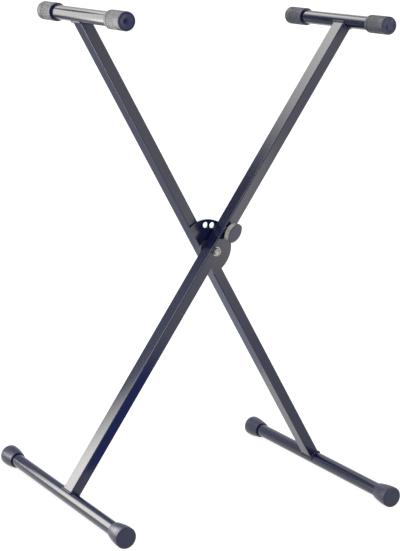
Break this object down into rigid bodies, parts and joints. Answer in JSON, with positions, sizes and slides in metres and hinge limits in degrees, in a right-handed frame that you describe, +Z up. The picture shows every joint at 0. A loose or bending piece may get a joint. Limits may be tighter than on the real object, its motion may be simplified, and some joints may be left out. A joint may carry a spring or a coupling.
{
  "type": "folding keyboard stand",
  "caption": "Folding X stand for a music keyboard: two crossed legs on one bolt, index plate and sprung pull pin for the height, capped foot and top tubes.",
  "frame": {"origin": "on the floor, midway between the four feet, under the pivot and midway between the two legs", "axes": "+X across the X shape towards the knob leg's top tube, +Z up, -Y the front, where the pull knob is"},
  "size_m": [0.5814, 0.494, 0.8823],
  "materials": {
    "black_paint": "gloss",
    "foot_rubber": "satin",
    "grip_rubber": "ribbed, satin",
    "zinc_plate": "bright zinc",
    "slip_nylon": "smooth",
    "knob_plastic": "satin",
    "bare_steel": "as drawn",
    "black_steel": "black oxide",
    "spring_steel": "drawn wire"
  },
  "bodies": {
    "knob_leg": {"knob_leg_tube": "black_paint", "knob_leg_pivot_sleeve": "bare_steel", "knob_leg_foot_tube": "black_paint", "knob_leg_foot_cap_front": "foot_rubber", "knob_leg_foot_cap_back": "foot_rubber", "knob_leg_top_tube": "black_paint", "knob_leg_top_cap_front": "grip_rubber", "knob_leg_top_cap_back": "grip_rubber", "knob_leg_foot_weld": "black_paint", "knob_leg_top_weld": "black_paint", "plunger_housing": "black_steel", "plunger_stop_ring": "black_steel", "plunger_spring": "spring_steel"},
    "plate_leg": {"plate_leg_tube": "black_paint", "plate_leg_pivot_sleeve": "bare_steel", "plate_leg_foot_tube": "black_paint", "plate_leg_foot_cap_front": "foot_rubber", "plate_leg_foot_cap_back": "foot_rubber", "plate_leg_top_tube": "black_paint", "plate_leg_top_cap_front": "grip_rubber", "plate_leg_top_cap_back": "grip_rubber", "plate_leg_foot_weld": "black_paint", "plate_leg_top_weld": "black_paint", "index_plate": "black_paint", "plate_weld": "black_paint", "pivot_bolt": "zinc_plate", "pivot_nut": "zinc_plate", "pivot_washer_front": "zinc_plate", "pivot_washer_back": "zinc_plate", "pivot_slip_ring": "slip_nylon"},
    "lock_pin": {"plunger_pin": "black_steel", "pull_knob": "knob_plastic"}
  },
  "joints": [
    {"name": "fold", "type": "hinge", "parent": "plate_leg", "child": "knob_leg", "pos_m": [0, 0, 0.45213], "axis": [0, 1, 0], "range_deg": [-37.2, 37.2]},
    {"name": "pin_pull", "type": "slide", "parent": "knob_leg", "child": "lock_pin", "axis": [0, -1, 0], "range_m": [-0.005, 0]}
  ]
}
